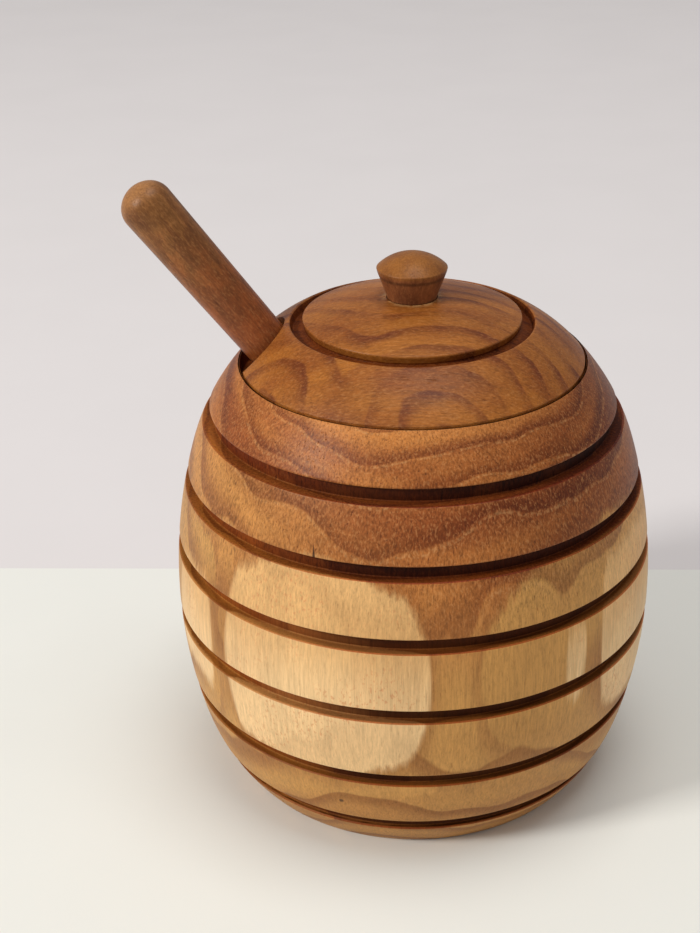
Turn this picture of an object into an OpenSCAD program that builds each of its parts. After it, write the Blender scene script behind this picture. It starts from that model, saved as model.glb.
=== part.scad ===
// Turned wooden honey pot with six ring grooves, an inset lift-off lid, a glued knob and a dipper.
// Millimetres. Z is up, the origin is the centre of the flat base, and the dipper leans towards -X.

/* [Pot] */
// Largest diameter of the pot
belly_d = 120; // [98:1:146]
// Height of the largest diameter above the table
belly_z = 51; // [42:1:62]
// Diameter of the flat base
base_d = 91; // [76:0.5:108]
// Lean of the side from upright, where it meets the base
base_lean = 41; // [34:1:49]
// Height of the pot's rim above the table
pot_h = 110.6; // [92:0.2:133]
// Lean of the shoulder from upright, where it meets the lid
shoulder_lean = 41.9; // [35:0.1:50]
// Thickness of the wall at the belly
wall = 10; // [8:0.5:12]
// Thickness of the floor
floor_t = 12; // [9:0.5:15]
// Radius between the inside wall and the floor
inner_corner_r = 10; // [7:0.5:13]
// Rounding of the edge under the base
base_edge_r = 1.2; // [0.5:0.1:2]

/* [Ring grooves] */
// Height of each groove's middle, as a share of the pot's height
groove_at = [0.088, 0.244, 0.421, 0.5875, 0.7405, 0.8865];
// Height of the parting tool that cuts them
groove_w = 3.45; // [2.4:0.05:4.4]
// Depth of each groove
groove_depth = 2.2; // [1.5:0.1:3]

/* [Mouth] */
// Depth of the recess that the lid sits in
recess_h = 5; // [4:0.1:6]
// Width of the ledge under the lid
ledge_w = 6.4; // [5:0.1:8]
// Height of the throat below the ledge
throat_h = 6; // [4.5:0.1:7.5]
// Width of the flat on top of the rim
rim_land = 0.4; // [0.3:0.1:0.8]
// Rounding of the throat's upper edge, which carries the dipper
throat_edge_r = 1; // [0.5:0.1:1.5]

/* [Lid] */
// Diameter of the lid
lid_d = 83.2; // [70:0.2:100]
// How far the lid's edge stands above the rim
lid_proud = 0.5; // [0:0.1:1]
// Width of the sloping band outside the lid's groove
band_w = 12.1; // [10:0.1:14.5]
// Rise of that band
band_rise = 9.3; // [7.8:0.1:11.2]
// Width of the lid's groove
lid_groove_w = 3.2; // [2.4:0.1:4]
// Depth of the lid's groove
lid_groove_depth = 2.4; // [1.8:0.1:3]
// Tilt of the lid's groove, square to the slope of the lid
lid_groove_tilt = 18; // [10:1:25]
// Height of the disc's edge above the band
disc_step = 1; // [0.6:0.1:1.4]
// Rise of the disc from its edge to its middle
disc_rise = 5; // [4:0.1:6]
// Diameter of the notch for the dipper
notch_d = 21.6; // [18:0.2:25]

/* [Knob] */
// Diameter of the knob's neck
neck_d = 12; // [10:0.2:14]
// Largest diameter of the knob
knob_d = 17; // [14.5:0.2:20]
// Height of the cone between the neck and the rim
cone_h = 6.2; // [5:0.1:7.4]
// Height of the rim band under the dome
knob_band_h = 0.9; // [0.5:0.1:1.4]
// Rise of the knob's domed top
knob_dome_h = 3.5; // [2.8:0.1:4.2]
// Diameter of the tenon that is glued into the lid
tenon_d = 8; // [6.6:0.1:9]
// Length of the tenon
tenon_h = 8; // [6.5:0.1:8.6]
// Depth of the flat spot that the neck stands on
knob_seat = 0.6; // [0.4:0.1:1]

/* [Dipper] */
// Length of the dipper
dipper_h = 173; // [155:1:190]
// Largest diameter of the handle, near its end
handle_d = 12.9; // [10.8:0.1:14]
// Diameter of the handle where its grip begins to swell
grip_d = 10.9; // [9.6:0.1:11.8]
// Length of the grip, up to the rounded end
grip_h = 62; // [50:1:74]
// Diameter of the handle where it leaves the head
shank_d = 10; // [8.4:0.1:11.5]
// Length of the rounded end of the handle
handle_end_h = 5.8; // [4.8:0.1:6.3]
// Number of ribs on the head
ribs = 6; // [4:1:7]
// Thickness of each rib
rib_t = 3.2; // [2.6:0.1:3.8]
// Gap between ribs, which holds the honey
rib_gap = 2.8; // [2.2:0.1:3.4]
// Largest diameter of the ribs, at the middle of the head
head_d = 26; // [22:0.5:30]
// Diameter of the first and the last rib
head_end_d = 20.5; // [17:0.5:21.5]
// Diameter of the core between the ribs
core_d = 11; // [9:0.5:13]
// Rise of the rounded tip under the last rib
tip_h = 2; // [1.5:0.1:2.6]

/* [Clearances] */
// Gap between the lid and the wall of its recess
lid_gap = 0.3; // [0.2:0.05:0.5]
// Gap between the dipper and what it leans on
dipper_gap = 0.3; // [0.2:0.05:0.5]
// Gap between the handle and the inner end of the notch
notch_gap = 1.1; // [0.8:0.1:2]
// Glue line round the tenon
glue_gap = 0.1; // [0.05:0.01:0.2]
// Room for glue under the tenon
glue_room = 0.5; // [0.3:0.1:1]

/* [Hidden] */
$fn = 128;

// Wider than any half section, and the sliver by which two arcs overlap where they meet smoothly
far = 200;
overlap = 0.01;

lid_r = lid_d / 2;
recess_r = lid_r + lid_gap;
rim_r = recess_r + rim_land;
throat_r = recess_r - ledge_w;
ledge_z = pot_h - recess_h;
lid_edge_z = pot_h + lid_proud;

// Arcs are [centre, radius] in the half section: x is the distance from the axis, y is the height.

// The arc that leaves p in direction a and passes through q
function arc_from(p, a, q) =
    let (n = [-sin(a), cos(a)], w = q - p, r = (w * w) / (2 * (n * w)))
    [p + n * r, abs(r)];

// The arc through three points
function arc_through(p, q, s) =
    let (
        a = q - p,
        b = s - p,
        d = 2 * (a.x * b.y - a.y * b.x),
        c = [b.y * (a * a) - a.y * (b * b), a.x * (b * b) - b.x * (a * a)] / d
    )
    [p + c, norm(c)];

// Where two arcs meet smoothly that join p, left in direction a, to q, reached in direction b.
// It is the incentre of the triangle of p, q and the point where the two directions cross.
function meet_between(p, a, q, b) =
    let (w = q - p, chord = atan2(w.y, w.x), along = (a + chord) / 2)
    p + norm(w) * sin((b - chord) / 2) / sin((b - a) / 2) * [cos(along), sin(along)];

function arc_x(arc, z) = arc[0].x + sqrt(pow(arc[1], 2) - pow(z - arc[0].y, 2));

// Outline of the barrel: base edge, belly and rim, with a smooth pair of arcs below and above the belly
base_point = [base_d / 2, 0];
belly_point = [belly_d / 2, belly_z];
rim_point = [rim_r, pot_h];
low_meet = meet_between(base_point, 90 - base_lean, belly_point, 90);
high_meet = meet_between(belly_point, 90, rim_point, 90 + shoulder_lean);
low_arcs = [arc_from(base_point, 90 - base_lean, low_meet), arc_from(belly_point, 90, low_meet)];
high_arcs = [arc_from(belly_point, 90, high_meet), arc_from(rim_point, 90 + shoulder_lean, high_meet)];

function barrel_x(z) =
    z < low_meet.y ? arc_x(low_arcs[0], z)
    : z < belly_z ? arc_x(low_arcs[1], z)
    : z < high_meet.y ? arc_x(high_arcs[0], z)
    : arc_x(high_arcs[1], z);

function barrel_point(z) = [barrel_x(z), z];

// Hollow: one sweep of the gouge from the floor's corner, past the belly, to the throat
throat_z = ledge_z - throat_h;
hollow_low_z = floor_t + inner_corner_r;
hollow_arc = arc_through(
    barrel_point(hollow_low_z) - [wall, 0],
    belly_point - [wall, 0],
    barrel_point(throat_z) - [wall, 0]
);
corner_x = hollow_arc[0].x
    + sqrt(pow(hollow_arc[1] - inner_corner_r + overlap, 2) - pow(hollow_low_z - hollow_arc[0].y, 2));
corner_arc = [[corner_x, hollow_low_z], inner_corner_r];

// Height at which the corner's arc and the wall's arc meet, on the hollow's wall or this far inside it
function corner_meet_z(inset) = hollow_arc[0].y
    + (hollow_low_z - hollow_arc[0].y) * (hollow_arc[1] - inset) / (hollow_arc[1] - inner_corner_r);
function hollow_x(z, inset) =
    let (arc = z < corner_meet_z(inset) ? corner_arc : hollow_arc, up = z - arc[0].y)
    arc[0].x + sqrt(max(0, pow(arc[1] - inset, 2) - up * up));

// Lid: where the band meets the groove, the edge of the disc, and its middle
band_end = [lid_r - band_w, lid_edge_z + band_rise];
disc_r = band_end.x - lid_groove_w;
disc_z = band_end.y + disc_step;
lid_top = disc_z + disc_rise;
lid_band_arc = arc_from([lid_r, lid_edge_z], 90 + shoulder_lean, band_end);
knob_z = lid_top - knob_seat;

// Head of the dipper, measured along its axis from the tip
rib_pitch = rib_t + rib_gap;
head_h = tip_h + ribs * rib_t + (ribs - 1) * rib_gap;
handle_taper_h = dipper_h - handle_end_h;
handle_side = [handle_d / 2, handle_taper_h];
grip_foot = [grip_d / 2, handle_taper_h - grip_h];
handle_tip = [0, dipper_h];
handle_end_meet = meet_between(handle_side, 90, handle_tip, 180);
handle_end_arcs = [
    arc_from(handle_side, 90, handle_end_meet) + [[0, 0], overlap],
    arc_from(handle_tip, 180, handle_end_meet)
];
function rib_z(i) = tip_h + rib_t / 2 + i * rib_pitch;
function rib_r(i) =
    let (along = ribs > 1 ? 2 * i / (ribs - 1) - 1 : 0)
    head_d / 2 - (head_d - head_end_d) / 2 * along * along;
function handle_r(s) =
    lookup(s, [[head_h, shank_d / 2], [grip_foot.y, grip_foot.x], [handle_side.y, handle_side.x]]);

// Outline of the head as small circles: [distance from the axis, height, radius]
tip_r = rib_r(0) - rib_t / 2;
tip_arc = arc_through([-tip_r, tip_h], [0, 0], [tip_r, tip_h]);
head_circles = concat(
    [for (i = [0 : ribs - 1], side = [-1, 1]) [side * (rib_r(i) - rib_t / 2), rib_z(i), rib_t / 2]],
    [for (t = [-1 : 0.25 : 1]) [t * tip_r, tip_arc[0].y - sqrt(pow(tip_arc[1], 2) - pow(t * tip_r, 2)), 0]]
);

// The dipper as it falls: its head touches floor and wall, and its handle lies on the throat's edge.
// The foot is the middle of its last rib. Foot and lean depend on each other, so they are settled in turn.
rest_edge = [-(throat_r + throat_edge_r), ledge_z - throat_edge_r];
function from_foot(p, lean) =
    let (up = p.y - rib_z(0))
    [p.x * cos(lean) - up * sin(lean), p.x * sin(lean) + up * cos(lean)];
function foot(lean) =
    let (
        circles = [for (p = head_circles) [from_foot(p, lean), p.z + dipper_gap]],
        z = max([for (c = circles) floor_t + c[1] - c[0].y])
    )
    [min([for (c = circles) hollow_x(z + c[0].y, c[1]) - c[0].x]), z];
function lean_from(at) =
    let (
        w = rest_edge - at,
        held = handle_r(norm(w) + rib_z(0)) + throat_edge_r + dipper_gap
    )
    atan2(-w.x, w.y) - asin(held / norm(w));
function settle(lean, n) = n == 0 ? lean : settle(lean_from(foot(lean)), n - 1);
dipper_lean = settle(38, 12);
dipper_foot = foot(dipper_lean);
echo(dipper_lean = dipper_lean, dipper_foot = dipper_foot);

// Part of the disc inside an arc, between two heights
module inside_arc(arc, z0, z1, from = 0) {
    intersection() {
        translate(arc[0]) circle(arc[1]);
        translate([from, z0]) square([far, z1 - z0]);
    }
}

// Half section of the barrel: a bulging band between each pair of grooves, and each groove's floor
module barrel_section() {
    mids = [for (g = groove_at) g * pot_h];
    lows = concat([0], [for (m = mids) m + groove_w / 2]);
    highs = concat([for (m = mids) m - groove_w / 2], [pot_h]);
    for (i = [0 : len(lows) - 1]) {
        middle = (lows[i] + highs[i]) / 2;
        bulge = arc_through(barrel_point(lows[i]), barrel_point(middle), barrel_point(highs[i]));
        inside_arc(bulge, lows[i], highs[i]);
    }
    for (m = mids)
        translate([0, m - groove_w / 2 - overlap])
        square([barrel_x(m) - groove_depth, groove_w + 2 * overlap]);
}

// What the base edge loses to its rounding
module base_edge_cut() {
    slope = 90 - base_lean;
    reach = base_edge_r * tan(slope / 2);
    difference() {
        translate([base_d / 2 - reach, 0]) square([far, base_edge_r - base_edge_r * cos(slope)]);
        translate([base_d / 2 - reach, base_edge_r]) circle(base_edge_r);
    }
}

// Half section of the hollow, the throat and the recess
module hollow_section() {
    translate([0, floor_t]) square([corner_x, inner_corner_r]);
    inside_arc(corner_arc, floor_t - 1, hollow_low_z, corner_x);
    inside_arc(hollow_arc, corner_meet_z(0), throat_z);
    translate([0, throat_z - overlap]) square([throat_r, far]);
    translate([0, ledge_z]) square([recess_r, far]);
    difference() {
        translate([throat_r - 1, ledge_z - throat_edge_r]) square([1 + throat_edge_r, 2 * throat_edge_r]);
        translate([throat_r + throat_edge_r, ledge_z - throat_edge_r]) circle(throat_edge_r);
    }
}

module pot() {
    color([0.70, 0.50, 0.32])
    rotate_extrude()
    difference() {
        barrel_section();
        hollow_section();
        base_edge_cut();
    }
}

// The dipper's own axis, standing on Z with its tip at the origin, laid where it rests
module along_dipper() {
    translate([dipper_foot.x, 0, dipper_foot.y])
    rotate([0, -dipper_lean, 0])
    translate([0, 0, -rib_z(0)])
    children();
}

module lid_section() {
    difference() {
        union() {
            intersection() {
                translate([0, ledge_z]) square([lid_r, band_end.y + overlap - ledge_z]);
                translate(lid_band_arc[0]) circle(lid_band_arc[1]);
            }
            disc_arc = arc_through([-disc_r, disc_z], [0, lid_top], [disc_r, disc_z]);
            inside_arc(disc_arc, band_end.y - disc_step, lid_top + 1);
        }
        translate(band_end)
        rotate(-lid_groove_tilt)
        translate([-lid_groove_w, -lid_groove_depth])
        square([lid_groove_w, far]);
    }
}

module lid() {
    notch_r = notch_d / 2;
    near = handle_d / 2 + notch_gap;
    up_to_band = (band_end.y - dipper_foot.y - near * sin(dipper_lean)) / cos(dipper_lean);
    handle_near = handle_r(rib_z(0) + up_to_band);
    color([0.72, 0.48, 0.26])
    difference() {
        rotate([0, 0, 180]) rotate_extrude() lid_section();
        along_dipper()
        translate([-(notch_r - handle_near - notch_gap), 0, head_h])
        cylinder(h = dipper_h, r = notch_r);
        translate([0, 0, knob_z]) cylinder(h = far, d = neck_d + 2 * glue_gap);
        translate([0, 0, knob_z - tenon_h - glue_room])
        cylinder(h = far, d = tenon_d + 2 * glue_gap);
    }
}

module knob() {
    band_r = knob_d / 2;
    cone_r = band_r - knob_band_h / 4;
    rim_z = cone_h + knob_seat + knob_band_h;
    dome_arc = arc_through([-band_r, rim_z], [0, rim_z + knob_dome_h], [band_r, rim_z]);
    color([0.58, 0.36, 0.22])
    translate([0, 0, knob_z])
    rotate_extrude() {
        translate([0, -tenon_h]) square([tenon_d / 2, tenon_h]);
        polygon([
            [0, 0],
            [neck_d / 2, 0],
            [neck_d / 2, knob_seat],
            [cone_r, rim_z - knob_band_h],
            [band_r, rim_z],
            [0, rim_z]
        ]);
        inside_arc(dome_arc, rim_z, rim_z + knob_dome_h + 1);
    }
}

// A disc with a half-round edge
module rib_section(r) {
    translate([0, -rib_t / 2]) square([r - rib_t / 2, rib_t]);
    inside_arc([[r - rib_t / 2, 0], rib_t / 2], -rib_t, rib_t, r - rib_t / 2);
}

module dipper_section() {
    inside_arc(tip_arc, -1, tip_h);
    for (i = [0 : ribs - 1]) translate([0, rib_z(i)]) rib_section(rib_r(i));
    translate([0, tip_h + rib_t / 2]) square([core_d / 2, head_h - tip_h - rib_t]);
    polygon([
        [0, head_h - rib_t / 2],
        [shank_d / 2, head_h - rib_t / 2],
        [shank_d / 2, head_h],
        grip_foot,
        handle_side,
        handle_end_meet - [overlap, 0],
        [0, handle_end_meet.y]
    ]);
    inside_arc(handle_end_arcs[0], handle_taper_h, handle_end_meet.y + 1);
    inside_arc(handle_end_arcs[1], handle_end_meet.y, dipper_h + 1);
}

module dipper() {
    color([0.55, 0.33, 0.19])
    along_dipper()
    rotate_extrude() dipper_section();
}

pot();
lid();
knob();
dipper();
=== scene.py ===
# %% [markdown]
# # A turned honey pot
#
# The object is a barrel-shaped pot turned from one block of wood, with six grooves cut round it. A loose
# lid sits in its mouth, a small knob is glued into the lid, and a ribbed dipper leans in a notch at the
# lid's edge. The CAD model, which is loaded here as a fixed frame, says where everything is. This lesson
# turns each piece again as a fine mesh with softened edges, and then gives it wood made of nodes.

# %% Load the frame
import math

import bmesh
import bpy
from mathutils import Matrix, Vector


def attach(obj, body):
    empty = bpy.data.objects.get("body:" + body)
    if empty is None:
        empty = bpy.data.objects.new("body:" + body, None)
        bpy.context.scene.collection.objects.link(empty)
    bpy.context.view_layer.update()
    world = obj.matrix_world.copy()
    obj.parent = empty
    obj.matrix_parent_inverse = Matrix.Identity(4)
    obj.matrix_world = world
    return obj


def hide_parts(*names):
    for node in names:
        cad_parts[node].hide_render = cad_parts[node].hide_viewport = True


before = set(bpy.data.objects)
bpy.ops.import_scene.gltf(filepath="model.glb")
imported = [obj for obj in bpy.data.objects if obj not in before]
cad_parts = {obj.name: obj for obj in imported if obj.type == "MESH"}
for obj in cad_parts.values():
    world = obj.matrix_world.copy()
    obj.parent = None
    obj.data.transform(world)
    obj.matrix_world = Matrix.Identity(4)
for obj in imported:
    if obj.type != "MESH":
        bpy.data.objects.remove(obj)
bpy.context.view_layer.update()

# %% [markdown]
# ## The camera
#
# The photograph was taken from above, close to the pot, so upright lines lean together and the circles
# become wide ovals. The place and the direction of the lens were worked out from the pot's own circles.
# The camera is made first, because each piece is then judged through it. Lengths are written in
# millimetres, as a turner would give them, and are made into metres only where Blender takes them.

# %% Camera
MM = 0.001
PHOTO_HEIGHT = 933
FOCUS_IN_PIXELS = 1624.1
SENSOR = 36.0
CAMERA_AT = Vector((0.0, -365.16, 262.65))
CAMERA_RIGHT = Vector((0.99927, 0.03405, -0.01737))
CAMERA_UP = Vector((0.00036, 0.44597, 0.89505))

lens = bpy.data.cameras.new("camera")
lens.sensor_width = SENSOR
lens.lens = SENSOR * FOCUS_IN_PIXELS / PHOTO_HEIGHT
camera = bpy.data.objects.new("camera", lens)
bpy.context.scene.collection.objects.link(camera)
axes = Matrix((CAMERA_RIGHT, CAMERA_UP, CAMERA_RIGHT.cross(CAMERA_UP))).transposed()
camera.matrix_world = Matrix.Translation(CAMERA_AT * MM) @ axes.to_4x4()
bpy.context.scene.camera = camera
print("Lens:", round(lens.lens, 1), "mm")

# %% [markdown]
# ## Writing nodes as lines
#
# A finish in Blender is a tree of nodes that pass numbers and colours along. It could be put together by
# hand in the shader editor. Here each node is one line of code, so the recipe of a wood reads from top to
# bottom like a sentence. The class holds one material while it is written, and its methods make the
# nodes that come back again and again.

# %% Writing nodes
TO_MILLIMETRES = (1000.0, 1000.0, 1000.0)


def linear(red, green, blue):
    """A colour written as on a screen, 0 to 255, as the numbers that a shader takes."""
    shares = [c / 255 for c in (red, green, blue)]
    return tuple(s / 12.92 if s < 0.04045 else ((s + 0.055) / 1.055) ** 2.4 for s in shares) + (1.0,)


class Finish:
    """A material whose nodes are written one line at a time. A socket takes a number or an output."""

    def __init__(self, name):
        self.material = bpy.data.materials.new(name)
        self.material.use_nodes = True
        self.tree = self.material.node_tree
        self.tree.nodes.clear()

    def node(self, kind, sockets, **settings):
        """One node of this kind, with its sockets filled or linked."""
        made = self.tree.nodes.new("ShaderNode" + kind)
        for name, value in settings.items():
            setattr(made, name, value)
        for name, value in sockets.items():
            if isinstance(value, bpy.types.NodeSocket):
                self.tree.links.new(value, made.inputs[name])
            else:
                made.inputs[name].default_value = value
        return made

    def math(self, operation, a, b=0.0):
        return self.node("Math", {0: a, 1: b}, operation=operation).outputs[0]

    def times(self, a, b):
        return self.math("MULTIPLY", a, b)

    def grow(self, value, times, plus=0.0):
        """The value times one number, plus another."""
        return self.node("Math", {0: value, 1: times, 2: plus}, operation="MULTIPLY_ADD").outputs[0]

    def ramp(self, value, low, high, start=0.0, end=1.0):
        """Runs smoothly from start to end while the value goes from low to high."""
        sockets = {"Value": value, 1: low, 2: high, 3: start, 4: end}
        return self.node("MapRange", sockets, interpolation_type="SMOOTHSTEP").outputs[0]

    def hump(self, value, foot, top, brow, end):
        """Rises from 0 to 1 between foot and top, and falls back between brow and end."""
        return self.times(self.ramp(value, foot, top), self.ramp(value, brow, end, 1.0, 0.0))

    def vector(self, operation, a, b):
        return self.node("VectorMath", {0: a, 1: b}, operation=operation).outputs[0]

    def distance(self, a, b=(0.0, 0.0, 0.0)):
        return self.node("VectorMath", {0: a, 1: b}, operation="DISTANCE").outputs["Value"]

    def axes(self, a):
        """The x, y and z of a place, as three outputs."""
        return self.node("SeparateXYZ", {0: a}).outputs

    def blend(self, share, a, b, how="MIX"):
        """Colour a where the share is 0, and b where it is 1."""
        return self.node("Mix", {0: share, 6: a, 7: b}, data_type="RGBA", blend_type=how).outputs[2]

    def dyed(self, colour, dye):
        """The colour seen through a dye, which is the two multiplied."""
        return self.blend(1.0, colour, dye, "MULTIPLY")

    def noise(self, place, sizes, detail=2.0, rough=0.5, colour=False):
        """Cloudy noise whose blobs have these sizes along x, y and z, in millimetres."""
        scaled = self.vector("MULTIPLY", place, tuple(1 / s for s in sizes))
        sockets = {"Vector": scaled, "Scale": 1.0, "Detail": detail, "Roughness": rough}
        return self.node("TexNoise", sockets).outputs[1 if colour else 0]

    def drifted(self, place, sizes, reach, detail):
        """The place, pushed about by soft noise, so that what is drawn from it wanders."""
        push = self.vector("SUBTRACT", self.noise(place, sizes, detail, colour=True), (0.5, 0.5, 0.5))
        return self.vector("ADD", place, self.vector("MULTIPLY", push, reach))

    def place(self):
        """Where a point is in the frame, in millimetres."""
        return self.vector("MULTIPLY", self.node("TexCoord", {}).outputs["Object"], TO_MILLIMETRES)

    def done(self, sockets):
        """Ends the material with a Principled shader and its output."""
        shader = self.node("BsdfPrincipled", sockets)
        self.node("OutputMaterial", {"Surface": shader.outputs[0]})
        print(self.material.name, "is written in", len(self.tree.nodes), "nodes")
        return self.material


# %% [markdown]
# ## The floor
#
# The pot stands on a sheet of white card on a pale grey table. The card ends a little behind the pot, and
# from the camera that edge reads as the line between table and wall. A wall could be built as well, but
# it would stand in the way of the views from behind. Both sheets are matt paper with a faint tooth.

# %% Floor
CARD_REACH = 2600
CARD_END = 88.0
TABLE_REACH = 6000
TABLE_DROP = 0.6


def paper(name, colour):
    """Matt paper: a little mottled, with a fine tooth."""
    f = Finish(name)
    place = f.place()
    mottle = f.ramp(f.noise(place, (60, 60, 60), 3), 0.3, 0.7)
    tint = f.blend(mottle, colour, tuple(c * 0.985 for c in colour[:3]) + (1.0,))
    tooth = f.noise(place, (0.4, 0.4, 0.4), 3)
    bump = f.node("Bump", {"Height": tooth, "Strength": 0.1, "Distance": 0.00005})
    return f.done({"Base Color": tint, "Roughness": 0.85, "Normal": bump.outputs[0]})


def sheet_of(name, reach, back, z, material):
    """A flat sheet at height z that ends at y = back behind the pot, and at reach on the other sides."""
    mesh = bpy.data.meshes.new(name)
    corners = [(-reach, -reach), (reach, -reach), (reach, back), (-reach, back)]
    mesh.from_pydata([(x * MM, y * MM, z * MM) for x, y in corners], [], [(0, 1, 2, 3)])
    made = bpy.data.objects.new(name, mesh)
    made.data.materials.append(material)
    bpy.context.scene.collection.objects.link(made)


sheet_of("card", CARD_REACH, CARD_END, 0.0, paper("white_card", linear(234, 234, 228)))
sheet_of("table", TABLE_REACH, TABLE_REACH, -TABLE_DROP, paper("grey_table", linear(226, 221, 221)))

# %% [markdown]
# ## The light
#
# One soft lamp on the left models the barrel and throws the shadow to the right. A wider one hangs above
# and keeps the lid bright, and the pale world fills the rest, as the white walls of a small studio do.
# The size of a lamp sets how soft its shadow is, so the left one is the smaller. Together they are set so
# that a colour on the floor renders about as it is written.

# %% Light
AIM = Vector((0, 0, 60))
ROOM_WHITE = linear(241, 240, 240)
ROOM_STRENGTH = 0.42


def soft_lamp(name, at, size, watts, tint):
    """A square softbox at a place in millimetres, turned to the middle of the pot."""
    lamp = bpy.data.lights.new(name, "AREA")
    lamp.size = size * MM
    lamp.energy = watts
    lamp.color = tint
    made = bpy.data.objects.new(name, lamp)
    made.location = Vector(at) * MM
    made.rotation_euler = (AIM * MM - made.location).to_track_quat("-Z", "Y").to_euler()
    bpy.context.scene.collection.objects.link(made)
    print(name, "is", round((made.location - AIM * MM).length, 2), "m away")


soft_lamp("lamp_left", (-1900, -1100, 1500), 520, 40.0, (1.0, 0.985, 0.95))
soft_lamp("lamp_above", (250, -150, 2600), 1400, 26.0, (1.0, 0.99, 0.97))

world = bpy.data.worlds.new("room")
world.use_nodes = True
sky = world.node_tree.nodes["Background"]
sky.inputs["Color"].default_value = ROOM_WHITE
sky.inputs["Strength"].default_value = ROOM_STRENGTH
bpy.context.scene.world = world
bpy.context.scene.view_settings.view_transform = "Standard"

# %% [markdown]
# ## Curves that a turner cuts
#
# A turner's curve has no kinks, because the gouge is swung in one sweep. Such a curve can be built from
# arcs that touch without a corner. Each arc starts in a known direction and ends at a known point, and
# that is enough to find its centre. Where a curve has a direction at both ends, two arcs are needed, and
# the point where they join comes from the two directions.

# %% Arcs
def arc_from(start, heading, end):
    """Centre and radius of the arc that leaves start at this heading, in degrees, and reaches end."""
    left = Vector((-math.sin(math.radians(heading)), math.cos(math.radians(heading))))
    chord = end - start
    radius = chord.length_squared / (2 * left.dot(chord))
    return start + left * radius, abs(radius)


def meeting(start, heading, end, final_heading):
    """Where two arcs join smoothly that go from start to end and keep the headings at both ends."""
    chord = end - start
    slope = math.degrees(math.atan2(chord.y, chord.x))
    along = math.radians((heading + slope) / 2)
    reach = math.sin(math.radians((final_heading - slope) / 2))
    reach *= chord.length / math.sin(math.radians((final_heading - heading) / 2))
    return start + reach * Vector((math.cos(along), math.sin(along)))


def arc_out(arc, z):
    """How far from the axis the outer side of an arc is at height z."""
    centre, radius = arc
    return centre.x + math.sqrt(radius ** 2 - (z - centre.y) ** 2)


def arc_up(arc, x):
    """Height of the upper side of an arc at distance x from the axis."""
    centre, radius = arc
    return centre.y + math.sqrt(radius ** 2 - (x - centre.x) ** 2)


def dome(rim, rim_z, top):
    """The arc of a dome that is rim wide of the axis at rim_z and reaches top on the axis."""
    rise = top - rim_z
    radius = (rim ** 2 + rise ** 2) / (2 * rise)
    return Vector((0, top - radius)), radius


def steps(low, high, most):
    """Numbers from low to high, both included, no further apart than most."""
    count = max(1, math.ceil(abs(high - low) / most))
    return [low + (high - low) * i / count for i in range(count + 1)]


# %% [markdown]
# ## Eased corners
#
# A cutting tool never leaves a perfectly sharp edge, and sandpaper softens it more. A bevel on the
# finished mesh could do that, but it leaves uneven faces. So each point of a half section carries three
# numbers: its distance from the axis, its height, and the radius to which its corner is eased. Nought
# means that the point lies on a smooth curve. Two support points beside each corner keep the flats flat.

# %% Easing
EASE_STEPS = 4
SUPPORT = 0.25
SHORT_SUPPORT = 0.05


def eased(section, support=SUPPORT):
    """The section with each corner that has an easing radius made round, between two support points."""
    made = []
    for i, (x, z, radius) in enumerate(section):
        here = Vector((x, z))
        if not radius:
            made.append(here)
            continue
        back = (Vector(section[i - 1][:2]) - here).normalized()
        ahead = (Vector(section[i + 1][:2]) - here).normalized()
        half = back.angle(ahead) / 2
        reach = radius / math.tan(half)
        centre = here + (back + ahead).normalized() * radius / math.sin(half)
        first = here + back * reach - centre
        last = here + ahead * reach - centre
        made.append(here + back * (reach + support))
        for k in range(EASE_STEPS + 1):
            spoke = first.lerp(last, k / EASE_STEPS)
            made.append(centre + spoke.normalized() * radius)
        made.append(here + ahead * (reach + support))
    return made


# %% [markdown]
# ## A lathe of code
#
# Every piece of this object comes off a lathe, so every mesh is half a section swept round the axis. A
# Screw modifier would do the same. Code was chosen because it can also say, face by face, which cut a
# face belongs to, and so which finish it gets. Each turned piece then takes the place of its CAD node.

# %% Turning
ON_AXIS = 1e-6


def turned(name, section, parts=256, finish_of=None):
    """Sweeps a closed half section, or one that starts and ends on the axis, round Z."""
    mesh = bmesh.new()
    rings = []
    for x, z in section:
        if abs(x) < ON_AXIS:
            rings.append([mesh.verts.new((0, 0, z * MM))] * parts)
            continue
        angles = [2 * math.pi * i / parts for i in range(parts)]
        round_it = [(x * math.cos(a) * MM, x * math.sin(a) * MM, z * MM) for a in angles]
        rings.append([mesh.verts.new(point) for point in round_it])
    for k, (low, high) in enumerate(zip(rings, rings[1:])):
        for i in range(parts):
            j = (i + 1) % parts
            corners = list(dict.fromkeys((low[i], low[j], high[j], high[i])))
            face = mesh.faces.new(corners)
            face.smooth = True
            if finish_of:
                face.material_index = finish_of(section[k], section[k + 1])
    made = bpy.data.objects.new(name, bpy.data.meshes.new(name))
    mesh.to_mesh(made.data)
    mesh.free()
    bpy.context.scene.collection.objects.link(made)
    print(name, "has", len(made.data.polygons), "faces")
    return made


def stands_for(piece, node, body):
    """The piece takes the CAD node's place and moves with its body."""
    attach(piece, body)
    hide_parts(node)


# %% [markdown]
# ## The barrel
#
# The barrel's outline is four arcs that run smoothly into each other, two below the widest place and two
# above it. A spline through a few points could look alike, but it would bulge between them. With arcs the
# lean at the foot and at the rim are numbers that can be read off the photograph.

# %% Pot: the barrel's outline
BELLY = Vector((60.0, 51.0))
BASE = Vector((45.5, 0.0))
BASE_HEADING = 49
RIM = Vector((42.3, 110.6))
RIM_HEADING = 131.9
ABOVE_RIM = 1.0     # the last arc serves a little past the rim, so that no height is left without one

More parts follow.
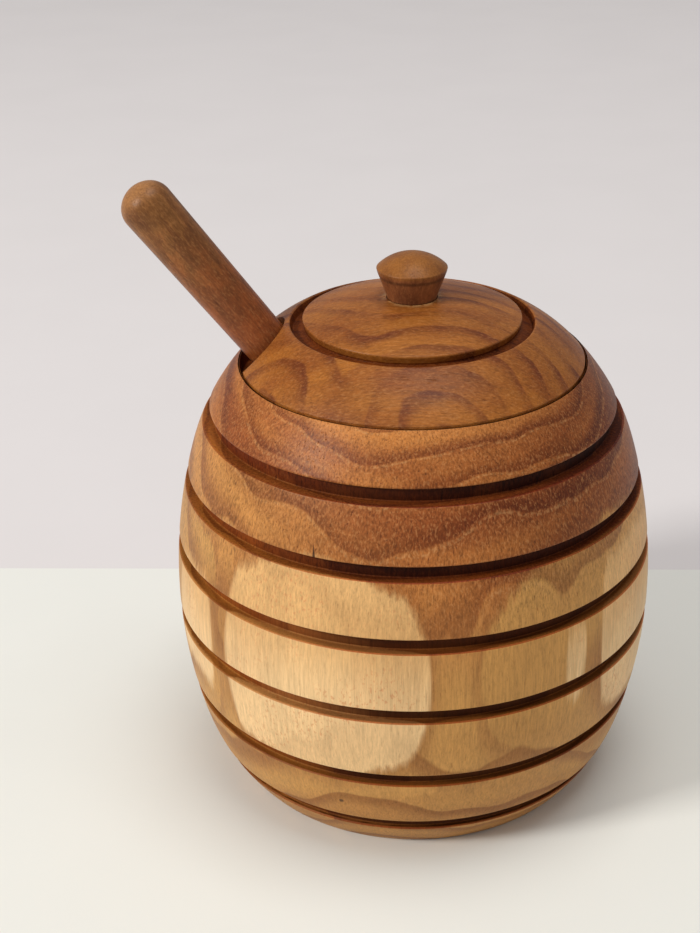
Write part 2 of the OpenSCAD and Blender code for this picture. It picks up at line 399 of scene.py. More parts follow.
low_join = meeting(BASE, BASE_HEADING, BELLY, 90)
high_join = meeting(BELLY, 90, RIM, RIM_HEADING)
BARREL = [
    (low_join.y, arc_from(BASE, BASE_HEADING, low_join)),
    (BELLY.y, arc_from(BELLY, 90, low_join)),
    (high_join.y, arc_from(BELLY, 90, high_join)),
    (RIM.y + ABOVE_RIM, arc_from(RIM, RIM_HEADING, high_join)),
]
print("The barrel's arcs have radii", [round(radius, 1) for top, (centre, radius) in BARREL], "mm")


def barrel(z):
    """How far from the axis the barrel's outside is at height z."""
    return next(arc_out(arc, z) for top, arc in BARREL if z <= top)


# %% [markdown]
# ## Six grooves
#
# The grooves are what makes the pot look like a beehive. A turner pushes a thin parting tool straight in,
# so each groove has a flat back and square walls, and its lips are then touched with sandpaper. In the
# section a groove is four eased corners. They are spaced as shares of the pot's height, because that is
# how they were measured.

# %% Pot: outside
GROOVES_AT = [0.088, 0.244, 0.421, 0.5875, 0.7405, 0.8865]
GROOVE_WIDTH = 3.45
GROOVE_DEPTH = 2.2
LIP = 0.35
GROOVE_FOOT = 0.25
BASE_EASE = 1.2
RIM_EASE = 0.12
RECESS = 41.9
SPACE = 1.2
CLEAR_OF_LIP = LIP + 0.5
SIDE_FROM, BELOW_RIM = 0.9, 0.8
INNER_RING = 20


def barrel_section():
    """From the axis under the base, up the outside with its grooves, to the rim."""
    section = [(0, 0, 0), (INNER_RING, 0, 0), (BASE.x, 0, BASE_EASE)]
    z = SIDE_FROM
    for share in GROOVES_AT:
        middle = share * RIM.y
        low, high = middle - GROOVE_WIDTH / 2, middle + GROOVE_WIDTH / 2
        foot = barrel(middle) - GROOVE_DEPTH
        section += [(barrel(h), h, 0) for h in steps(z, low - CLEAR_OF_LIP, SPACE)]
        section += [(barrel(low), low, LIP), (foot, low, GROOVE_FOOT)]
        section += [(foot, high, GROOVE_FOOT), (barrel(high), high, LIP)]
        z = high + CLEAR_OF_LIP
    section += [(barrel(h), h, 0) for h in steps(z, RIM.y - BELOW_RIM, SPACE)]
    return section + [(RIM.x, RIM.y, RIM_EASE), (RECESS, RIM.y, RIM_EASE)]


# %% [markdown]
# ## The hollow
#
# The mouth has a recess for the lid, a ledge that carries it, and a throat. Below the throat the pot is
# hollowed to an even wall by one long sweep that follows the outside, and a rounded corner leads into
# the flat floor. The sweep is one arc through three points, each a wall's thickness inside the barrel.

# %% Pot: inside
LEDGE = 105.6
THROAT = 35.5
THROAT_FOOT = 99.6
THROAT_EDGE = 1.0
FLOOR = 12.0
CORNER = 10.0
WALL = 10.0
INNER_EASE = 0.3
SWEEP_CLEAR, SWEEP_SPACE = 1.2, 1.5
CORNER_TURN = 0.12


def arc_through(p, q, s):
    """Centre and radius of the arc through three points."""
    a, b = q - p, s - p
    long_way = Vector((b.y, -b.x)) * a.length_squared
    short_way = Vector((-a.y, a.x)) * b.length_squared
    shift = (long_way + short_way) / (2 * a.cross(b))
    return p + shift, shift.length


def hollow_section():
    """From the recess, over the ledge and down the inside wall, to the axis on the floor."""
    low, high = FLOOR + CORNER, THROAT_FOOT
    sweep = arc_through(*(Vector((barrel(h) - WALL, h)) for h in (low, BELLY.y, high)))
    centre, radius = sweep
    corner = Vector((centre.x + math.sqrt((radius - CORNER) ** 2 - (low - centre.y) ** 2), low))
    outwards = (corner - centre).normalized()
    join = centre + outwards * radius
    section = [(RECESS, LEDGE, INNER_EASE), (THROAT, LEDGE, THROAT_EDGE)]
    section += [(THROAT, THROAT_FOOT, INNER_EASE), (arc_out(sweep, high), high, INNER_EASE)]
    section += [(arc_out(sweep, h), h, 0) for h in steps(high - SWEEP_CLEAR, join.y, SWEEP_SPACE)]
    for angle in steps(math.atan2(outwards.y, outwards.x), -math.pi / 2, CORNER_TURN)[1:]:
        section.append((corner.x + CORNER * math.cos(angle), corner.y + CORNER * math.sin(angle), 0))
    return section + [(INNER_RING, FLOOR, 0), (0, FLOOR, 0)]


# %% [markdown]
# ## Which cut a face belongs to
#
# The back of a groove lies in the shade of the band above it, and that shade is painted: the back is
# painted darker than the side of the pot, and the shelf under it and the lower lip get painted shade of
# their own. One dark ring painted by height would smear over the lips. So each face of the mesh is asked
# how deep it lies and which way it looks, and gets the number of its finish.

# %% Pot: turn it
WOOD, CUT, SHELF, LIP_WOOD = 0, 1, 2, 3
GROOVES_FROM, GROOVES_TO = 1.0, RIM.y - 0.5
LIP_FROM, LIP_TO = 0.04, LIP + 0.05     # how deep a lip lies inside the barrel
STEP_IN = 0.01                          # a face looks up when it runs inwards by more than this
LEVEL = 0.1                             # and a shelf rises by less than this


def groove_face(low, high):
    """The finish of a face: plain side, back of a groove, the shelf under it, or its lower lip."""
    middle = (low + high) / 2
    if not GROOVES_FROM <= middle.y <= GROOVES_TO or middle.x < THROAT:
        return WOOD
    deep = barrel(middle.y) - middle.x
    inwards = high.x < low.x - STEP_IN
    if deep < LIP_TO:
        return LIP_WOOD if inwards and deep > LIP_FROM else WOOD
    return SHELF if inwards and high.y - low.y < LEVEL else CUT


pot = turned("turned_pot", eased(barrel_section() + hollow_section()), finish_of=groove_face)
stands_for(pot, "pot", "pot")

# %% [markdown]
# ## The lid
#
# The lid is turned from a flat board. A plain edge drops into the recess, a band slopes up from it in one
# line with the barrel, and a groove tilted with that slope sets off the domed disc in the middle. The
# knob stands on a small flat with a blind hole in it. Because the groove is tilted, its far lip is found
# by going up from its foot until the disc is reached.

# %% Lid: section
LID = 41.6
LID_EDGE = 111.1
BAND_END = Vector((29.5, 120.4))
TILT = math.radians(18)
LID_GROOVE_WIDTH, LID_GROOVE_DEPTH = 3.2, 2.4
DISC_EDGE, DISC_Z, DISC_TOP = 26.3, 121.4, 126.4
SEAT, SEAT_R = 125.8, 6.1
BORE, BORE_R = 117.3, 4.1
LID_CLEAR, LID_SPACE = 1.2, 1.0
LIFT_STEP = 0.01
LID_CUT_FROM, LID_CUT_TO = DISC_EDGE - 1.2, BAND_END.x + 0.1
OFF_UNDERSIDE = 3

disc_arc = dome(DISC_EDGE, DISC_Z, DISC_TOP)
band_arc = arc_from(Vector((LID, LID_EDGE)), RIM_HEADING, BAND_END)


def lid_section():
    """From the axis under the lid, round its edge, over band, groove and disc, into the knob's hole."""
    across = Vector((math.cos(TILT), -math.sin(TILT)))
    up = Vector((math.sin(TILT), math.cos(TILT)))
    foot = BAND_END - up * LID_GROOVE_DEPTH
    heel = foot - across * LID_GROOVE_WIDTH
    lift = 0.0
    while arc_up(disc_arc, (heel + up * lift).x) > (heel + up * lift).y:
        lift += LIFT_STEP
    edge = heel + up * lift
    section = [(0, LEDGE, 0), (INNER_RING, LEDGE, 0), (LID, LEDGE, 0.4), (LID, LID_EDGE, 0.15)]
    section += [(x, arc_up(band_arc, x), 0) for x in steps(LID - LID_CLEAR, BAND_END.x + 1.0, LID_SPACE)]
    section += [(*BAND_END, 0.35), (*foot, 0.3), (*heel, 0.3), (*edge, 0.45)]
    section += [(x, arc_up(disc_arc, x), 0) for x in steps(edge.x - LID_CLEAR, SEAT_R + 0.6, LID_SPACE)]
    section += [(SEAT_R, arc_up(disc_arc, SEAT_R), 0.15), (SEAT_R, SEAT, 0), (BORE_R, SEAT, 0)]
    return section + [(BORE_R, BORE, 0), (0, BORE, 0)]


def in_lid_groove(low, high):
    """The finish of a face: plain wood, or the rougher cut of the groove."""
    middle = (low + high) / 2
    below = arc_up(band_arc, max(middle.x, BAND_END.x)) - middle.y
    in_reach = LID_CUT_FROM < middle.x < LID_CUT_TO and middle.y > LEDGE + OFF_UNDERSIDE
    return CUT if in_reach and below > LIP else WOOD


# %% [markdown]
# ## Where the dipper leans
#
# The dipper's head has come to rest on the floor and against the wall, and its stick leans on the edge
# of the throat. The CAD model works that rest out, and its lean and foot are repeated here, because both
# the dipper and the notch need them. The notch is bored along the same lean, a little further out, so
# that a narrow gap stays between its inner end and the handle.

# %% Where the dipper leans
LEAN = math.radians(37.6688)
DIPPER_FOOT = Vector((38.2106, 0.0, 19.186))
FOOT_TO_TIP = 3.6
DIPPER_LAY = (
    Matrix.Translation(DIPPER_FOOT)
    @ Matrix.Rotation(-LEAN, 4, "Y")
    @ Matrix.Translation((0, 0, -FOOT_TO_TIP))
)
SHANK, GRIP, HANDLE = 5.0, 5.45, 6.45
HEAD_TOP, GRIP_FOOT, HANDLE_TOP, DIPPER_TOP = 35.2, 105.2, 167.2, 173.0
NOTCH = 10.8
NOTCH_ROOM = 1.1


def handle_radius(along):
    """The shank thickens slowly up to the grip, and the grip swells faster towards its end."""
    if along < GRIP_FOOT:
        return SHANK + (GRIP - SHANK) * (along - HEAD_TOP) / (GRIP_FOOT - HEAD_TOP)
    return GRIP + (HANDLE - GRIP) * (along - GRIP_FOOT) / (HANDLE_TOP - GRIP_FOOT)


def notch_shift():
    """How far the notch's axis lies outside the dipper's, so that its inner end clears the handle."""
    near = HANDLE + NOTCH_ROOM
    up_to_band = (BAND_END.y - DIPPER_FOOT.z - near * math.sin(LEAN)) / math.cos(LEAN)
    return NOTCH - handle_radius(FOOT_TO_TIP + up_to_band) - NOTCH_ROOM


print("The notch is bored", round(notch_shift(), 2), "mm outside the dipper's axis")

# %% [markdown]
# ## Boring the notch
#
# On the real lid the notch is one pass of a large drill, held at the dipper's lean. A Boolean does the
# same with a long cylinder. The cylinder is only a tool and is thrown away, and the lid's mesh takes the
# result, so that nothing is left to be worked out later.

# %% Lid: turn it and bore the notch
DRILL_SIDES = 160
DRILL_LENGTH = 0.2


def bored(piece, radius, shift):
    """Takes a leaning cylinder out of the piece, and says how that cylinder lay."""
    bpy.ops.mesh.primitive_cylinder_add(vertices=DRILL_SIDES, radius=radius * MM, depth=DRILL_LENGTH)
    drill = bpy.context.object
    lay = DIPPER_LAY @ Matrix.Translation((-shift, 0, HEAD_TOP))
    lay.translation *= MM
    drill.matrix_world = lay @ Matrix.Translation((0, 0, DRILL_LENGTH / 2))
    cut = piece.modifiers.new("bore", "BOOLEAN")
    cut.object = drill
    cut.solver = "EXACT"
    bpy.context.view_layer.update()
    seen = piece.evaluated_get(bpy.context.evaluated_depsgraph_get())
    result = bpy.data.meshes.new_from_object(seen)
    piece.modifiers.clear()
    piece.data = result
    bpy.data.objects.remove(drill)
    return lay


lid = turned("turned_lid", eased(lid_section()), parts=240, finish_of=in_lid_groove)
notch_lay = bored(lid, NOTCH, notch_shift())
print("The bored lid has", len(lid.data.polygons), "faces")

# %% [markdown]
# ## Softening the notch
#
# The drill leaves a crisp edge, which on the real lid is broken with sandpaper. The Boolean also leaves
# slivers beside that edge, and a bevel would fold over on them. So close points are merged first, then
# every sharp edge that lies on the drill's cylinder gets a small round bevel. The last line counts open
# edges, because a solid must have none.

# %% Lid: soften the notch
NOTCH_EASE = 0.3
ON_DRILL = 0.03
SLIVER = 0.12
NO_LENGTH = 0.01
SHARP = math.radians(25)
CRISP = math.radians(40)


def soften_bore(piece, lay, radius, ease):
    """Rounds the edge that the drill left."""
    mesh = bmesh.new()
    mesh.from_mesh(piece.data)
    back = lay.inverted()

    def on_bore(vert):
        local = back @ vert.co
        return abs(math.hypot(local.x, local.y) - radius * MM) < ON_DRILL * MM

    near = [v for v in mesh.verts if on_bore(v)]
    bmesh.ops.remove_doubles(mesh, verts=near, dist=SLIVER * MM)
    bmesh.ops.dissolve_degenerate(mesh, edges=mesh.edges[:], dist=NO_LENGTH * MM)
    rims = []
    for edge in mesh.edges:
        if len(edge.link_faces) == 2 and all(on_bore(v) for v in edge.verts):
            if edge.calc_face_angle(0) > SHARP:
                rims.append(edge)
    round_it = {"segments": 3, "profile": 0.5, "affect": "EDGES", "clamp_overlap": True}
    bmesh.ops.bevel(mesh, geom=rims, offset=ease * MM, **round_it)
    for face in mesh.faces:
        face.smooth = True
    for edge in mesh.edges:
        edge.smooth = edge.calc_face_angle(0) < CRISP
    mesh.to_mesh(piece.data)
    open_edges = sum(not e.is_manifold for e in mesh.edges)
    mesh.free()
    print("notch:", len(rims), "edges softened,", open_edges, "open edges left")


soften_bore(lid, notch_lay, NOTCH, NOTCH_EASE)
stands_for(lid, "lid", "lid")

# %% [markdown]
# ## The knob
#
# The knob is a short turning of its own, with the grain upright: a neck, a cone that flares to a narrow
# rim, and a domed top. A tenon under the neck is glued into the lid. The piece is small, so its corners
# lie close together, and the support points stand closer too.

# %% Knob
NECK, NECK_BAND, KNOB_RIM = 6.0, 0.6, 8.5
RIM_PROUD = 0.225
CONE, CONE_HIGH = KNOB_RIM - RIM_PROUD - NECK, 6.2
KNOB_CONE_TOP, KNOB_RIM_Z, KNOB_TOP = 132.6, 133.5, 137.0
TENON, TENON_LENGTH = 4.0, 8.0
DOME_CLEAR, DOME_SPACE = 0.8, 0.7


def knob_section():
    """From the axis under the tenon, up neck, cone and rim, over the dome."""
    top = dome(KNOB_RIM, KNOB_RIM_Z, KNOB_TOP)
    section = [(0, SEAT - TENON_LENGTH, 0), (TENON, SEAT - TENON_LENGTH, 0.5), (TENON, SEAT, 0)]
    section += [(NECK, SEAT, 0), (NECK, SEAT + NECK_BAND, 0)]
    for t in (0.1, 0.3, 0.5, 0.7, 0.9):
        section.append((NECK + CONE * t, SEAT + NECK_BAND + CONE_HIGH * t, 0))
    section += [(NECK + CONE, KNOB_CONE_TOP, 0.35), (KNOB_RIM, KNOB_RIM_Z, 0.3)]
    section += [(x, arc_up(top, x), 0) for x in steps(KNOB_RIM - DOME_CLEAR, DOME_CLEAR, DOME_SPACE)]
    return section + [(0, KNOB_TOP, 0)]


knob = turned("turned_knob", eased(knob_section(), SHORT_SUPPORT), parts=128)
stands_for(knob, "knob", "lid")

# %% [markdown]
# ## The dipper
#
# The dipper is a stick with a ribbed head. The ribs hold the honey, and their edges are half round. They
# stand out most in the middle of the head, so that together they have the shape of a small hive. The
# handle swells a little towards its rounded end. The dipper is turned upright on its own axis and then
# laid in the pot as it comes to rest there.

# %% Dipper
RIBS, RIB, RIB_PITCH = 6, 3.2, 6.0
TIP = 2.0
HEAD, HEAD_END, CORE = 13.0, 10.25, 5.5
RIB_TURN = 18
ABOVE_HEAD, HANDLE_SPACE, SHOULDER_SPACE, END_SPACE = 2, 3, 0.4, 0.5


def head_section():
    """From the tip on the axis, over the ribs, to the shank."""
    tip_r = HEAD_END - RIB / 2
    tip_curve = (tip_r ** 2 + TIP ** 2) / (2 * TIP)
    section = [(0, 0, 0)]
    for t in (0.15, 0.3, 0.45, 0.6, 0.75, 0.9, 1.0):
        x = tip_r * t
        section.append((x, tip_curve - math.sqrt(tip_curve ** 2 - x ** 2), 0))
    for i in range(RIBS):
        along = 2 * i / (RIBS - 1) - 1
        out = HEAD - (HEAD - HEAD_END) * along * along - RIB / 2
        middle = TIP + RIB / 2 + i * RIB_PITCH
        for angle in steps(-90, 90, RIB_TURN):
            if i == 0 and angle == -90:
                continue    # the tip ends where the first rib begins
            turn = math.radians(angle)
            section.append((out + RIB / 2 * math.cos(turn), middle + RIB / 2 * math.sin(turn), 0))
        if i < RIBS - 1:
            section += [(CORE, middle + RIB / 2, 0.3), (CORE, middle + RIB_PITCH - RIB / 2, 0.3)]
    return section + [(SHANK, HEAD_TOP, 0.3)]


def handle_section():
    """From just above the head, up the handle, round its end to the axis."""
    section = [(handle_radius(h), h, 0) for h in steps(HEAD_TOP + ABOVE_HEAD, HANDLE_TOP, HANDLE_SPACE)]
    side, top = Vector((HANDLE, HANDLE_TOP)), Vector((0, DIPPER_TOP))
    join = meeting(side, 90, top, 180)
    shoulder, end = arc_from(side, 90, join), arc_from(top, 180, join)
    section += [(arc_out(shoulder, h), h, 0) for h in steps(HANDLE_TOP, join.y, SHOULDER_SPACE)[1:]]
    section += [(x, arc_up(end, x), 0) for x in steps(join.x, 0, END_SPACE)[1:-1]]
    return section + [(0, DIPPER_TOP, 0)]


dipper = turned("turned_dipper", eased(head_section() + handle_section(), SHORT_SUPPORT), parts=96)
lay = DIPPER_LAY.copy()
lay.translation *= MM
dipper.data.transform(lay)
stands_for(dipper, "dipper", "dipper")

# %% [markdown]
# ## Wood as a solid
#
# Real figure runs through the block, and the tool only lays it bare. So each wood here is a solid: the
# nodes read the point's place in the frame and never a map laid on the surface. Fibres and pores are noise
# drawn out along the grain. On the side of the pot they show as upright streaks, and on the shoulder, where
# the cut crosses them, the same noise shows as small specks, as it does on the real block. Freshly cut
# wood in a groove takes less oil and shines less, so a cut has a lower gloss; it is also painted darker,
# which is painted shade.

# %% Fibres, pores and the last coat
OILED, RAW = 0.2, 0.12
SPARK = linear(216, 156, 98)
PORE_DYE = linear(165, 128, 104)


def timber(f, place, colour, along, flecks=1.0, rough=(0.42, 0.58), cut=None, gloss=OILED):
    """Adds fibres, pores, a cloudy tone, roughness and bump to a figure, and ends the material."""
    def sizes(across, length):
        return tuple(length if i == along else across for i in range(3))

    fibre = f.noise(place, sizes(0.7, 16), 4, 0.65)
    fine = f.noise(place, sizes(0.34, 5), 3, 0.6)
    curl = f.vector("MULTIPLY", f.noise(place, (3.5, 3.5, 3.5), 1, colour=True), (1.3, 1.3, 1.3))
    dash = f.noise(f.vector("ADD", place, curl), sizes(0.46, 1.25), 2, 0.7)
    pore = f.ramp(f.noise(place, sizes(0.42, 3.0), 2, 0.5), 0.63, 0.72)
    cloud = f.noise(place, sizes(11, 38), 3, 0.55)
    tone = f.ramp(cloud, 0.3, 0.7, 0.94, 1.05)
    lines = f.math("ADD", f.ramp(fibre, 0.25, 0.75, -0.17, 0.15), f.ramp(fine, 0.3, 0.7, -0.13, 0.13))
    lines = f.times(lines, f.grow(0.35, flecks, 0.65))
    shade = f.times(f.ramp(dash, 0.34, 0.50, -0.30, 0.0), flecks)
    total = f.times(tone, f.math("ADD", f.math("ADD", lines, shade), 1.0))
    grey = f.node("CombineColor", {0: total, 1: total, 2: total}).outputs[0]
    shaded = f.dyed(colour, grey)
    shaded = f.blend(f.times(f.ramp(dash, 0.50, 0.68, 0.0, 0.27), flecks), shaded, SPARK)
    # cut, when given, is painted shade for the wood in a groove, multiplied over the colour.
    if cut is not None:
        shaded = f.dyed(shaded, cut)
    deep = f.dyed(shaded, PORE_DYE)
    final = f.blend(f.times(pore, f.grow(0.5, flecks, 0.1)), shaded, deep)
    dull = f.ramp(f.math("ADD", f.grow(fibre, 0.5), f.grow(pore, 0.5)), 0.15, 0.7, *rough)
    relief = f.math("SUBTRACT", f.grow(fibre, 0.4, f.grow(dash, 0.4)), f.grow(pore, 0.6))
    bump = f.node("Bump", {"Height": relief, "Strength": 0.45, "Distance": 0.00015})
    shader = {"Base Color": final, "Roughness": dull, "Normal": bump.outputs[0]}
    return f.done({**shader, "Specular IOR Level": gloss})


# %% [markdown]
# ## Heartwood and sapwood
#
# The block was cut from near the middle of a log: reddish heartwood on the shoulder, pale sapwood where
# the belly bulges out past the heart, and tan wood towards the base. In plan, the edge of the heart is a
# wavy outline. Two curves give that outline over the angle round the pot, one where the heart ends and one
# where the palest wood begins. Because they are in plan, the pale patches close by themselves above and
# below the belly, just as they do on the real pot.

# %% Pot: outlines of heart and sapwood
HEART_EDGE = [
    (-180, 58.0), (-165, 57.4), (-148, 57.6), (-142, 58.8), (-138.5, 60.1), (-136, 58.8), (-133, 57.8),
    (-125, 57.2), (-112, 57.0), (-101, 57.8), (-93, 58.5), (-89, 59.2), (-86, 60.1), (-80.5, 61.6),
    (-75, 60.1), (-72, 59.0), (-67, 58.2), (-60, 57.3), (-48, 56.8), (-25, 56.8), (0, 57.6),
    (35, 59.4), (62, 57.2), (90, 57.0), (112, 58.4), (122, 61.2), (132, 58.6), (150, 57.8), (180, 58.0),
]
PALE_EDGE = [
    (-180, 61.2), (-168, 60.4), (-158, 59.2), (-146, 59.2), (-141, 60.4), (-138, 60.0), (-136, 58.7),
    (-133, 57.7), (-125, 57.1), (-112, 56.9), (-101, 57.7), (-93, 58.4), (-89, 59.1), (-86, 60.0),
    (-80.5, 61.8), (-62, 61.8), (-55, 60.9), (-52, 59.6), (-48.5, 59.6), (-46, 61.0), (-42, 60.3),
    (-40, 59.1), (-36, 58.5), (-18, 58.3), (2, 59.2), (30, 61.4), (60, 58.4), (90, 57.6),
    (110, 58.8), (124, 61.4), (150, 60.6), (180, 61.2),
]
LEAN_OF_PITH = 0.025
EDGE_LOW, EDGE_HIGH = 50.0, 64.0


def outline(f, turn, points):
    """A curve over the angle round the axis, in millimetres from the axis."""
    made = f.node("FloatCurve", {"Factor": 1.0, "Value": turn})
    curve = made.mapping.curves[0]
    placed = [((a + 180) / 360, (r - EDGE_LOW) / (EDGE_HIGH - EDGE_LOW)) for a, r in points]
    curve.points[0].location = placed[0]
    curve.points[1].location = placed[-1]
    for at in placed[1:-1]:
        curve.points.new(*at)
    made.mapping.update()
    return f.grow(made.outputs[0], EDGE_HIGH - EDGE_LOW, EDGE_LOW)


def past_edges(f, moved, feather):
    """How far a point lies outside the heart's edge and the pale wood's edge, in millimetres."""
    x, y, z = f.axes(moved)
    out = f.math("SQRT", f.math("ADD", f.times(x, x), f.times(y, y)))
    out = f.math("ADD", out, f.grow(z, LEAN_OF_PITH, -BELLY.y * LEAN_OF_PITH))
    turn = f.grow(f.math("ARCTAN2", y, x), 0.5 / math.pi, 0.5)
    past_heart = f.math("ADD", f.math("SUBTRACT", out, outline(f, turn, HEART_EDGE)), feather)
    past_pale = f.math("ADD", f.math("SUBTRACT", out, outline(f, turn, PALE_EDGE)), feather)
    return past_heart, past_pale


# %% [markdown]
# ## Year rings
#
# Each year a tree adds a ring that ends in a thin dark line of late wood, and the first wood of the next
# year is paler. In nodes a ring is the distance from the pith, cut into years by keeping only the part
# after the decimal point. Where the barrel's side runs along a ring the line comes out broad, and where
# it cuts across, thin, so the bold and the fine figure both come from one rule. A slower ribbon makes
# some years darker than others.

# %% Pot: year rings
PITH = (1.3, -7.4, 0.0)
YEAR = 4.6
FLAT = (1.0, 1.0, 0.0)      # multiplied by this a place loses its height, and distances are in plan


def year_rings(f, place, moved):
    """Late wood, early wood and ribbon at a point, each from 0 to 1."""
    ring = f.distance(f.vector("MULTIPLY", f.vector("SUBTRACT", moved, PITH), FLAT))
    wander = f.grow(f.noise(place, (40, 40, 90), 2), 3.0)
    year = f.math("FRACT", f.math("ADD", f.grow(ring, 1 / YEAR), wander))
    late = f.hump(year, 0.40, 0.84, 0.86, 0.92)
    early = f.hump(year, 0.88, 0.95, 0.96, 1.0)
    years = f.node("CombineXYZ", {0: ring, 1: wander}).outputs[0]
    ribbon = f.ramp(f.noise(years, (5.5, 4, 4), 2), 0.35, 0.66)
    return late, early, ribbon


# %% [markdown]
# ## A crack and a pin knot
#
# Two small flaws make this block itself and no other: a drying crack that runs up a few millimetres from
# a groove, and a knot no larger than a pin's head near the base. They could be cut into the mesh, but
# they are finer than its faces. A crack is simply where x is almost a chosen number, and a knot is where
# the distance from a chosen point is small.

# %% Pot: flaws
CRACK_X, CRACK_LOW, CRACK_HIGH = -21.9, 83.2, 86.8
KNOT_AT = (-16.95, -52.46, 17.34)
FLAW_DYE = linear(48, 26, 16)


def flaws(f, place):
    """How much of a flaw is at a point, from 0 to 0.85."""
    x, y, z = f.axes(place)
    beside = f.math("ABSOLUTE", f.math("SUBTRACT", x, CRACK_X))
    crack = f.math("LESS_THAN", beside, f.ramp(z, CRACK_LOW, CRACK_HIGH, 0.30, 0.06))
    crack = f.times(crack, f.hump(z, CRACK_LOW - 0.4, CRACK_LOW, CRACK_HIGH - 0.6, CRACK_HIGH))
    crack = f.times(crack, f.math("LESS_THAN", y, 0.0))
    knot = f.ramp(f.distance(place, KNOT_AT), 0.3, 0.8, 0.8, 0.0)
    return f.math("MAXIMUM", f.grow(crack, 0.85), knot)


# %% [markdown]
# ## The pot's colours
#
# The colours were read off the photograph, for the brighter and the duller years of each kind of
# wood. The heart changes from tan at the base to red on the shoulder, and is darkest at the upper right.
# Soft ramps over the height and over x do that, and the darkening towards the right is partly darker
# heartwood and partly painted shade, on the side away from the light. Lines that belong to the rings are
# then drawn over the ground: dark late wood, which hardly shows in the pale sap, and broken glints of early
# wood on the shoulder. A few rusty freckles sit in the pale wood.

# %% Pot: colours
LATE_DYE = linear(170, 132, 110)
GLINT = linear(206, 154, 100)
FRECKLE = linear(204, 132, 84)


def pot_ground(f, x, height, past_heart, past_pale, ribbon):
    """The broad colours of the block."""
    red = f.blend(ribbon, linear(188, 118, 56), linear(143, 76, 35))
    dark = f.blend(ribbon, linear(148, 82, 34), linear(112, 52, 20))
    tan = f.blend(ribbon, linear(198, 146, 80), linear(180, 126, 66))
    golden = f.blend(ribbon, linear(196, 144, 78), linear(178, 124, 64))
    pale = f.blend(f.ramp(height, 48, 68), linear(234, 195, 142), linear(222, 174, 114))
    pale = f.blend(ribbon, pale, f.dyed(pale, linear(246, 242, 236)))
    to_the_right = f.math("MAXIMUM", f.ramp(x, -58, 8, 0.45, 1.0), f.ramp(height, 90, 100))
    heart = f.blend(f.times(f.ramp(height, 50, 84), to_the_right), tan, red)
    # Partly darker heartwood and partly painted shade: the shoulder darkens towards the right, away from
    # the light.
    heart = f.blend(f.times(f.ramp(height, 66, 86), f.ramp(x, 4, 46)), heart, dark)
    ground = f.blend(f.ramp(past_heart, -0.4, 0.4), heart, golden)
    return f.blend(f.ramp(past_pale, -0.35, 0.35), ground, pale)


def pot_marks(f, place, ground, height, past_heart, past_pale, late, early):
    """Ring lines, glints, freckles and flaws over the ground."""
    rim = f.hump(past_heart, -2.0, -0.2, -0.1, 0.25)
    late = f.times(late, f.ramp(past_pale, -0.35, 0.35, 0.62, 0.10))
    line = f.math("MAXIMUM", late, f.grow(rim, 0.35))
    body = f.blend(line, ground, f.dyed(ground, LATE_DYE))
    glint = f.times(early, f.ramp(f.noise(place, (0.8, 0.8, 1.1), 3), 0.42, 0.62))
    body = f.blend(f.times(glint, f.ramp(height, 68, 84, 0.05, 0.36)), body, GLINT)
    freckle = f.ramp(f.noise(place, (0.6, 0.6, 1.0), 1), 0.56, 0.68)
    freckle = f.times(freckle, f.ramp(past_pale, -0.2, 0.6))
    freckle = f.times(freckle, f.ramp(f.noise(place, (14, 14, 14), 2), 0.42, 0.66, 0.0, 0.55))
    body = f.blend(freckle, body, FRECKLE)
    return f.blend(flaws(f, place), body, FLAW_DYE)


# %% [markdown]
# ## Putting the pot's wood on
#
# The pot carries the same wood four times: on its side, on the backs of the grooves, on the shelves under
# them and on the lower lips. All four read the same place in the block, so the figure runs on from band
# to band through the grooves. They differ in painted shade, in gloss and in roughness. The painted shade
# is deeper on the right, where the photograph's grooves turn away from the light.

# %% Pot: wood
# Painted shade on the back, the shelf and the lower lip of a groove, lighter on the left and darker on the
# right.
BACK_PAINTED_SHADE = linear(190, 142, 104), linear(108, 77, 55)
SHELF_PAINTED_SHADE = linear(218, 190, 150), linear(166, 134, 106)
LIP_PAINTED_SHADE = linear(218, 184, 146), linear(204, 148, 112)
SHADE_FROM, SHADE_TO = -44, -8


def pot_wood(name, rough, painted_shades=None, gloss=OILED):
    """The block's wood, as it looks on one kind of cut."""
    f = Finish(name)
    place = f.place()
    moved = f.drifted(place, (26, 26, 60), (2.2, 2.2, 3.0), 2)
    feather = f.grow(f.noise(place, (1.1, 1.1, 24), 4, 0.6), 1.1, -0.55)
    past_heart, past_pale = past_edges(f, moved, feather)
    late, early, ribbon = year_rings(f, place, moved)
    x, y, z = f.axes(moved)
    height = f.math("ADD", z, f.grow(feather, 6.0))
    ground = pot_ground(f, x, height, past_heart, past_pale, ribbon)
    body = pot_marks(f, place, ground, height, past_heart, past_pale, late, early)
    # The painted shade of a groove's faces, deeper towards the right, away from the light.
    cut = f.blend(f.ramp(x, SHADE_FROM, SHADE_TO), *painted_shades) if painted_shades else None
    flecks = f.times(f.ramp(height, 60, 80, 0.34, 1.0), f.ramp(past_pale, -0.5, 0.5, 1.0, 0.45))
    return timber(f, place, body, along=2, flecks=flecks, rough=rough, cut=cut, gloss=gloss)


pot.data.materials.append(pot_wood("pot_wood", (0.42, 0.58)))
pot.data.materials.append(pot_wood("pot_groove_wood", (0.6, 0.75), BACK_PAINTED_SHADE, RAW))
pot.data.materials.append(pot_wood("pot_shelf_wood", (0.6, 0.75), SHELF_PAINTED_SHADE, RAW))
pot.data.materials.append(pot_wood("pot_lip_wood", (0.45, 0.6), LIP_PAINTED_SHADE))

